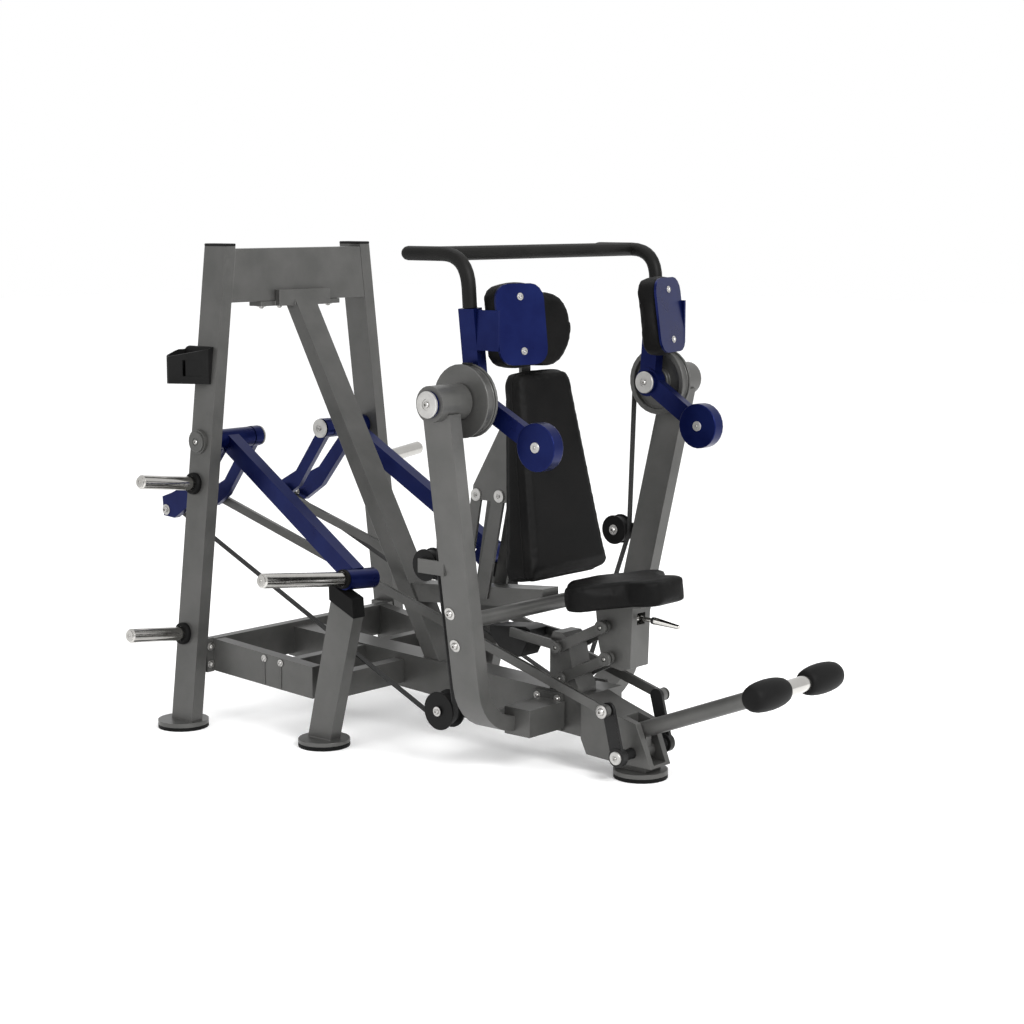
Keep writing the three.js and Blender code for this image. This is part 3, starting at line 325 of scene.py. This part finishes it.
def slab(name, outline, origin, across, up, depth, material, body, edge=0.002):
    """A flat plate: outline is (across, up) corners, and depth runs along across x up."""
    across, up = across.normalized(), up.normalized()
    out = across.cross(up)
    mesh_maker = bmesh.new()
    front = [mesh_maker.verts.new(origin + across * a + up * b) for a, b in outline]
    back = [mesh_maker.verts.new(v.co + out * depth) for v in front]
    mesh_maker.faces.new(front[::-1])
    mesh_maker.faces.new(back)
    for k in range(len(front)):
        nxt = (k + 1) % len(front)
        mesh_maker.faces.new((front[k], front[nxt], back[nxt], back[k]))
    bmesh.ops.recalc_face_normals(mesh_maker, faces=mesh_maker.faces)
    mesh = bpy.data.meshes.new(name)
    mesh_maker.to_mesh(mesh)
    mesh_maker.free()
    obj = link(name, mesh, material, body)
    soften_edges(obj, edge)
    return obj


def wire(name, points, radius, material, body, cyclic=False, smooth=False):
    """A round bead or rod along points."""
    curve = bpy.data.curves.new(name, "CURVE")
    curve.dimensions = "3D"
    curve.bevel_depth = radius
    curve.bevel_resolution = 4
    curve.use_fill_caps = True
    spline = curve.splines.new("NURBS" if smooth else "POLY")
    spline.points.add(len(points) - 1)
    for k, point in enumerate(points):
        spline.points[k].co = (*point, 1)
    spline.use_cyclic_u = cyclic
    if smooth:
        spline.order_u = 4
        spline.use_endpoint_u = not cyclic
    obj = bpy.data.objects.new(name, curve)
    bpy.context.scene.collection.objects.link(obj)
    curve.materials.append(material)
    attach(obj, body)
    return obj


def bolt(name, point, axis, radius, body, washer=True, material=None):
    """A button-head bolt with a hex socket, on a washer; point is on the surface it clamps."""
    material = material or ZINC
    rim = radius * 1.75
    height = radius * 0.75
    profile = [(0, -0.0005)]
    lift = 0.0
    if washer:
        profile += [(rim, -0.0005), (rim, 0.0018), (rim * 0.96, 0.0024), (radius * 1.04, 0.0024)]
        lift = 0.0024
    else:
        profile += [(radius * 1.04, -0.0005)]
    profile += [
        (radius, lift + height * 0.3),
        (radius * 0.86, lift + height * 0.75),
        (radius * 0.62, lift + height),
        (radius * 0.40, lift + height),
        (radius * 0.38, lift + height * 0.35),
        (0, lift + height * 0.30),
    ]
    return lathe(name, profile, point, axis, material, body, segments=24)


def washer_cap(name, point, axis, radius, thick, body, material=None):
    """A turned end cap: a bevelled disc with a bolt sunk in its middle."""
    material = material or CAP_SILVER
    profile = [
        (0, -0.0005),
        (radius, -0.0005),
        (radius, thick * 0.72),
        (radius * 0.95, thick),
        (radius * 0.42, thick),
        (radius * 0.40, thick * 0.7),
        (0, thick * 0.7),
    ]
    lathe(name, profile, point, axis, material, body, segments=48)
    axis = axis.normalized()
    bolt(name + "_bolt", point + axis * thick * 0.7, axis, radius * 0.24, body, washer=False)


# ---------- cushions ----------
SIM_FRAMES = 14
MOST_SWELL = 0.005  # how far a point of a cushion may move while it is blown up
CUSHION_GRID = 0.0055


def cushion(node_name, name, body, edge, pressure, shrink=0.004):
    """The CAD's plain solid with rounded edges, blown up as a sewn cover over foam."""
    source = frame["nodes"][node_name]
    obj = bpy.data.objects.new(name, source.data.copy())
    bpy.context.scene.collection.objects.link(obj)
    for step in (("weld", "WELD"), ("edges", "BEVEL"), ("grid", "REMESH")):
        modifier = obj.modifiers.new(*step)
        if step[1] == "WELD":
            modifier.merge_threshold = WELD_DISTANCE
        elif step[1] == "BEVEL":
            modifier.width = edge
            modifier.segments = 4
            modifier.limit_method = "ANGLE"
            modifier.angle_limit = math.radians(28)
        else:
            modifier.mode = "VOXEL"
            modifier.voxel_size = CUSHION_GRID
            modifier.use_smooth_shade = True
    bake(obj)
    start = [v.co.copy() for v in obj.data.vertices]
    cloth = obj.modifiers.new("cloth", "CLOTH")
    cloth.settings.use_pressure = True
    cloth.settings.uniform_pressure_force = pressure
    cloth.settings.quality = 5
    cloth.settings.shrink_min = shrink
    cloth.settings.effector_weights.gravity = 0
    scene = bpy.context.scene
    cloth.point_cache.frame_start = 1
    cloth.point_cache.frame_end = SIM_FRAMES
    for number in range(1, SIM_FRAMES + 1):
        scene.frame_set(number)
    bake(obj)
    scene.frame_set(1)
    for vertex, origin in zip(obj.data.vertices, start):
        move = vertex.co - origin
        if move.length > MOST_SWELL:
            vertex.co = origin + move.normalized() * MOST_SWELL
    smooth = obj.modifiers.new("relax", "SMOOTH")
    smooth.factor = 0.5
    smooth.iterations = 6
    bake(obj)
    obj.data.materials.clear()
    obj.data.materials.append(LEATHER)
    obj.data.shade_smooth()
    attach(obj, body)
    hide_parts(node_name)
    return obj


def bake(obj):
    """Replaces the mesh by what its modifiers make of it."""
    bpy.context.view_layer.update()
    evaluated = obj.evaluated_get(bpy.context.evaluated_depsgraph_get())
    mesh = bpy.data.meshes.new_from_object(evaluated)
    obj.modifiers.clear()
    obj.data = mesh


SEAM_STEP = 0.012
SEAM_PROUD = 0.15  # how far the piping stands out, as a share of its radius


def seam(name, pad, points, body, radius=0.0022):
    """Piping laid on the cushion: each point drops onto the nearest place on its surface."""
    laid = []
    for k in range(len(points)):
        here, there = points[k], points[(k + 1) % len(points)]
        steps = max(2, int((there - here).length / SEAM_STEP))
        for n in range(steps):
            _, spot, normal, _ = pad.closest_point_on_mesh(here.lerp(there, n / steps))
            laid.append(spot + normal * radius * SEAM_PROUD)
    piping = wire(name, laid, radius, LEATHER, body, cyclic=True)
    return piping


backrest = cushion("backrest_pad", "backrest_cushion", "base", edge=0.013, pressure=3.0)
cushion("headrest_pad", "headrest_cushion", "base", edge=0.010, pressure=3.0)
cushion("seat_pad", "seat_cushion", "seat_carriage", edge=0.011, pressure=3.0)
for side, sign in SIDES:
    cushion(
        side + "_elbow_pad", side + "_elbow_cushion", "press_arms", edge=0.011, pressure=3.0,
    )


def front_seam_points():
    """The panel seam round the backrest, set back from its front face."""
    back = 0.030
    return [
        at(-0.129, 1.128 - back, 1.225),
        at(-0.112, 1.124 - back, 1.252),
        at(0.112, 1.124 - back, 1.252),
        at(0.129, 1.128 - back, 1.225),
        at(0.191, 1.232 - back, 0.645),
        at(0.176, 1.228 - back, 0.612),
        at(-0.176, 1.228 - back, 0.612),
        at(-0.191, 1.232 - back, 0.645),
    ]


seam("backrest_seam", backrest, front_seam_points(), "base")

# ---------- rear frame trim ----------
POST_CAP_LOW = 1.6415
for side, sign in SIDES:
    out = Vector((sign, 0, POST_LEAN)).normalized()
    slab(
        side + "_post_cap",
        [(-0.0012, -0.0012), (0.0482, -0.0012), (0.0482, 0.1062), (-0.0012, 0.1062)],
        at(sign * post_face(POST_CAP_LOW), 0, POST_CAP_LOW),
        Vector((-sign, 0, 0)),
        Y_AXIS,
        -0.0095 * sign,
        PLASTIC,
        "base",
        edge=0.003,
    )
    face = at(sign * (post_face(PIVOT[1]) + 0.009), PIVOT[0], PIVOT[1])
    washer_cap(side + "_pivot_cap", face, Vector((sign, 0, 0)), 0.035, 0.006, "base", material=FRAME_PAINT)
    for z, label in ((0.836, "upper"), (0.322, "lower")):
        base_point = at(sign * (post_face(z) + 0.0002), -0.072, z)
        lathe(
            f"{side}_{label}_peg_collar",
            [(0.0245, 0), (0.037, 0), (0.038, 0.006), (0.037, 0.013), (0.034, 0.0165), (0.0245, 0.0165)],
            base_point,
            out,
            RUBBER,
            "base",
            segments=48,
        )
        tip = base_point + out * 0.2365
        washer_cap(f"{side}_{label}_peg_end", tip, out, 0.0185, 0.003, "base", material=CHROME)
    for k, (x, z) in enumerate(((0.443, 0.276), (0.443, 0.214))):
        bolt(f"{side}_rail_plate_bolt_{k}", at(sign * x, -0.0035, z), -Y_AXIS, 0.008, "base")
    for k, station in enumerate((0.225, 0.297)):
        x = 0.408 - 0.0495 * (station + 0.020) / 0.452 + 0.0232
        low, high = 0.193 - 0.095 * station, 0.288 - 0.104 * station
        wire(
            f"{side}_rail_weld_{k}",
            [at(sign * x, station, low), at(sign * x, station, high)],
            0.0035,
            FRAME_PAINT,
            "base",
        )
        spot = at(sign * x, station, high - 0.004)
        bolt(f"{side}_rail_bolt_{k}", spot, Vector((sign, 0, 0)), 0.007, "base")
    for k, x in enumerate((0.160, 0.075)):
        bolt(f"{side}_saddle_bolt_{k}", at(sign * x, -0.028, 1.434), -Z_AXIS, 0.009, "base")

# ---------- uprights, hubs and rollers ----------
for side, sign in SIDES:
    out = Vector((sign, 0, 0))
    washer_cap(side + "_hub_cap", at(sign * 0.648, *HUB), out, 0.040, 0.007, "press_arms")
    washer_cap(side + "_inner_hub_cap", at(sign * 0.398, *HUB), -out, 0.036, 0.006, "press_arms")
    face_normal = Vector((sign, 0, -0.2266)).normalized()
    for k, z in enumerate((0.542, 0.438)):
        outer = 0.612 - 0.2266 * (1.171 - z)
        bolt(f"{side}_upright_bolt_{k}", at(sign * (outer + 0.0004), 1.141, z), face_normal, 0.0115, "base")
    bolt(side + "_lower_roller_bolt", at(sign * 0.358, *LOWER_ROLLER), out, 0.009, "base", washer=True)
    bolt(side + "_guide_roller_bolt", at(sign * 0.446, *GUIDE_ROLLER), -out, 0.010, "base", washer=True)
    for k, z in enumerate((0.217, 0.135)):
        bolt(f"{side}_spine_flange_bolt_{k}", at(sign * 0.066, 1.234, z), out, 0.0075, "base")
        bolt(f"{side}_spine_flange_rear_bolt_{k}", at(sign * 0.066, 1.150, z), out, 0.0075, "base")

# ---------- pullover arms ----------
for side, sign in SIDES:
    out = Vector((sign, 0, 0))
    for face, offset in (("outer", 0.427), ("inner", 0.383)):
        normal = out if face == "outer" else -out
        washer_cap(
            f"{side}_counterweight_{face}_cap", at(sign * offset, *COUNTERWEIGHT), normal, 0.016, 0.004,
            "press_arms",
        )
    for k, (across, up) in enumerate(((0.0, 0.082), (0.0, -0.080))):
        turn_in = Matrix.Rotation(math.radians(sign * 11.3), 3, "Z")
        turn = turn_in @ Matrix.Rotation(math.radians(-7.4), 3, "X")
        centre = at(sign * 0.370, 1.346, 1.429)
        spot = centre + turn @ Vector((across, -0.0002, up))
        bolt(f"{side}_elbow_plate_bolt_{k}", spot, turn @ Vector((0, -1, 0)), 0.0065, "press_arms")
    belt_end = at(sign * 0.483, HUB[0] + 0.008, HUB[1] + 0.1085)
    slab(
        side + "_belt_clamp",
        [(-0.011, -0.012), (0.011, -0.012), (0.011, 0.012), (-0.011, 0.012)],
        belt_end,
        X_AXIS,
        -Y_AXIS,
        -0.006,
        BLACK_METAL,
        "press_arms",
        edge=0.001,
    )

# ---------- weight arms and assist levers ----------
for side, sign in SIDES:
    out = Vector((sign, 0, 0))
    body = side + "_weight_arm"
    washer_cap(side + "_spigot_cap", at(sign * 0.150, *PIVOT), -out, 0.034, 0.006, body)
    bolt(side + "_lever_bolt", at(sign * 0.328, *LEVER_BOLT), out, 0.011, body)
    bolt(side + "_lever_inner_bolt", at(sign * 0.304, *LEVER_BOLT), -out, 0.011, body)
    peg_out = Vector((sign, 0, POST_LEAN)).normalized()
    base_point = at(sign * 0.4006, 0.612, 0.578)
    lathe(
        side + "_weight_peg_collar",
        [(0.0245, 0), (0.031, 0), (0.032, 0.006), (0.031, 0.012), (0.0245, 0.012)],
        base_point,
        peg_out,
        RUBBER,
        body,
        segments=48,
    )
    tip = base_point + peg_out * 0.3625
    washer_cap(side + "_weight_peg_end", tip, peg_out, 0.0185, 0.003, body, material=CHROME)
    bolt(side + "_rod_rear_bolt", at(sign * 0.127, *ROD_REAR), -out, 0.010, side + "_push_rod")
    bolt(side + "_rod_front_cap", at(sign * 0.162, *ROD_FRONT), out, 0.012, "foot_bar")
    washer_cap(side + "_foot_shaft_cap", at(sign * 0.134, *FOOT_AXIS), out, 0.021, 0.006, "foot_bar")

# ---------- belts: a strap over the rollers and the cam, and a straight tail to each weight arm ---
BELT_WIDTH = 0.022
BELT_THICK = 0.004
BELT_CLEAR = 0.0028  # from a groove to the middle of the belt
CAM_GROOVE_RADIUS = 0.103
LOWER_BELT_X = 0.322
GUIDE_BELT_X = 0.474
CAM_BELT_X = 0.483
ARM_TIE = (0.278, -0.356, 0.704)  # sideways place, station and height, on either side
BELT_HEADING = Vector((0, -0.919, -0.395))  # from the weight arm towards the lower roller


def belt_arc(x, centre, radius, start, end, steps):
    """Points round a roller, in the upright plane at x."""
    middle = at(x, *centre)
    turns = [math.radians(start + (end - start) * k / steps) for k in range(steps + 1)]
    return [middle + (radius + BELT_CLEAR) * Vector((0, math.cos(t), math.sin(t))) for t in turns]


def strap(name, route, body):
    """A flat strap along a route, its width across the machine."""
    mesh_maker = bmesh.new()
    rings = []
    for k, point in enumerate(route):
        along = (route[min(k + 1, len(route) - 1)] - route[max(k - 1, 0)]).normalized()
        across = (X_AXIS - along * X_AXIS.dot(along)).normalized() * BELT_WIDTH / 2
        out = along.cross(across).normalized() * BELT_THICK / 2
        corners = (across + out, out - across, -across - out, across - out)
        rings.append([mesh_maker.verts.new(point + corner) for corner in corners])
    for ring, following in zip(rings, rings[1:]):
        for k in range(4):
            nxt = (k + 1) % 4
            mesh_maker.faces.new((ring[k], ring[nxt], following[nxt], following[k]))
    mesh_maker.faces.new(rings[0][::-1])
    mesh_maker.faces.new(rings[-1])
    bmesh.ops.recalc_face_normals(mesh_maker, faces=mesh_maker.faces)
    mesh = bpy.data.meshes.new(name)
    mesh_maker.to_mesh(mesh)
    mesh_maker.free()
    obj = link(name, mesh, WEBBING, body, smooth=False)
    return obj


for side, sign in SIDES:
    low = belt_arc(sign * LOWER_BELT_X, LOWER_ROLLER, LOWER_GROOVE, 292, 186, 14)
    guide = belt_arc(sign * GUIDE_BELT_X, GUIDE_ROLLER, GUIDE_GROOVE, 188, 174, 3)
    high = belt_arc(sign * CAM_BELT_X, HUB, CAM_GROOVE_RADIUS, 2, 88, 14)
    upper = strap(side + "_upper_belt", low + guide + high, "base")
    tie = at(sign * ARM_TIE[0], *ARM_TIE[1:])
    tail = strap(side + "_belt_tail", [tie, low[0]], "base")
    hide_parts(side + "_belt")
    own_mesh(tail)

# ---------- belt ends on the weight arms ----------
for side, sign in SIDES:
    tie = at(sign * ARM_TIE[0], *ARM_TIE[1:])
    slab(
        side + "_belt_buckle",
        [(-0.016, -0.004), (0.016, -0.004), (0.016, 0.004), (-0.016, 0.004)],
        tie - BELT_HEADING * 0.012,
        X_AXIS,
        BELT_HEADING.cross(X_AXIS),
        0.034,
        BLACK_METAL,
        side + "_weight_arm",
        edge=0.0015,
    )

# ---------- backrest support details ----------
for side, sign in SIDES:
    out = Vector((sign, 0, 0))
    for k, (station, z) in enumerate(((0.873, 0.842), (0.973, 0.845))):
        washer_cap(f"{side}_back_plate_cap_{k}", at(sign * 0.047, station, z), out, 0.021, 0.006, "base")
lathe(
    "back_damper_body",
    [(0, 0), (0.014, 0), (0.0145, 0.003), (0.0145, 0.15), (0.013, 0.154), (0, 0.154)],
    at(0, 0.872, 0.600),
    Vector((0, -0.045, 0.19)),
    BLACK_METAL,
    "base",
)
lathe(
    "back_damper_rod",
    [(0, 0), (0.005, 0), (0.005, 0.105), (0, 0.105)],
    at(0, 0.9075, 0.750),
    Vector((0, -0.045, 0.19)),
    CHROME,
    "base",
    segments=24,
)

# ---------- seat hardware ----------
for side, sign in SIDES:
    out = Vector((sign, 0, 0))
    for k, (station, z, radius) in enumerate(((1.257, 0.290, 0.018), (1.437, 0.378, 0.022))):
        washer_cap(
            f"{side}_lower_link_cap_{k}", at(sign * 0.076, station, z), out, radius, 0.009, "seat_lower_link",
            material=FRAME_PAINT,
        )
    for k, (station, z, radius) in enumerate(((1.240, 0.388, 0.018), (1.420, 0.476, 0.022))):
        washer_cap(
            f"{side}_upper_link_cap_{k}", at(sign * 0.076, station, z), out, radius, 0.009, "seat_upper_link",
            material=FRAME_PAINT,
        )
lathe(
    "seat_lever_boot",
    [(0, 0), (0.011, 0), (0.012, 0.010), (0.009, 0.018), (0, 0.018)],
    at(0, 1.562, 0.5052),
    Vector((0, -1, -0.06)),
    BLACK_METAL,
    "seat_release_lever",
    segments=24,
)

# ---------- foot bar ----------
for side, sign in SIDES:
    pad = lathe(
        side + "_foot_roller",
        [
            (0.0156, 0.0575),
            (0.0290, 0.0577),
            (0.0340, 0.0598),
            (0.0382, 0.0670),
            (0.0425, 0.0850),
            (0.0456, 0.1100),
            (0.0468, 0.1400),
            (0.0458, 0.1700),
            (0.0430, 0.1960),
            (0.0388, 0.2130),
            (0.0340, 0.2218),
            (0.0280, 0.2262),
            (0.0180, 0.2282),
            (0.0060, 0.2289),
            (0, 0.2290),
        ],
        at(0, *FOOT_BAR_END),
        Vector((sign, 0, 0)),
        RUBBER,
        "foot_bar",
        segments=56,
    )
    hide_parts(side + "_foot_pad")

# ---------- stage, light and camera ----------
floor_mesh = bpy.data.meshes.new("floor")
FLOOR = 30.0
floor_mesh.from_pydata(
    [(-FLOOR, -FLOOR, 0), (FLOOR, -FLOOR, 0), (FLOOR, FLOOR, 0), (-FLOOR, FLOOR, 0)], [], [(0, 1, 2, 3)]
)
floor = bpy.data.objects.new("floor", floor_mesh)
floor.location.z = -0.0005
bpy.context.scene.collection.objects.link(floor)
floor_material, _, floor_shader = new_material("pale_floor")
floor_shader.inputs["Base Color"].default_value = (0.97, 0.97, 0.97, 1)
floor_shader.inputs["Emission Color"].default_value = (1, 1, 1, 1)
floor_shader.inputs["Emission Strength"].default_value = 0.12
floor_shader.inputs["Roughness"].default_value = 0.7
floor_mesh.materials.append(floor_material)

world = bpy.data.worlds.new("studio")
bpy.context.scene.world = world
world.use_nodes = True
world.node_tree.nodes["Background"].inputs["Color"].default_value = (1, 1, 1, 1)
world.node_tree.nodes["Background"].inputs["Strength"].default_value = 1.0


def soft_light(name, place, target, size, power):
    data = bpy.data.lights.new(name, "AREA")
    data.shape = "RECTANGLE"
    data.size, data.size_y = size
    data.energy = power
    obj = bpy.data.objects.new(name, data)
    bpy.context.scene.collection.objects.link(obj)
    obj.location = place
    obj.rotation_euler = (Vector(target) - Vector(place)).to_track_quat("-Z", "Y").to_euler()


soft_light("key", (-1.5, -5.2, 4.0), (0, 0, 0.9), (3.0, 2.0), 380)
soft_light("fill", (-6.0, 1.0, 2.5), (0, 0, 0.8), (3.0, 3.0), 60)
soft_light("top", (0.5, 0.5, 5.5), (0, 0, 0), (4.0, 4.0), 90)

CAMERA_PLACE = (-5.0619, POST_FACE_Y - 5.3729, 1.7707)
CAMERA_TURN = 49.085
CAMERA_DIP = 8.330
CAMERA_LENS = 73.015
camera_data = bpy.data.cameras.new("camera")
camera_data.lens = CAMERA_LENS
camera_data.sensor_width = 36.0
camera_data.clip_end = 100.0
camera = bpy.data.objects.new("camera", camera_data)
bpy.context.scene.collection.objects.link(camera)
camera.location = CAMERA_PLACE
camera.rotation_euler = (math.radians(90 - CAMERA_DIP), 0, math.radians(-CAMERA_TURN))
bpy.context.scene.camera = camera
bpy.context.scene.view_settings.view_transform = "Standard"
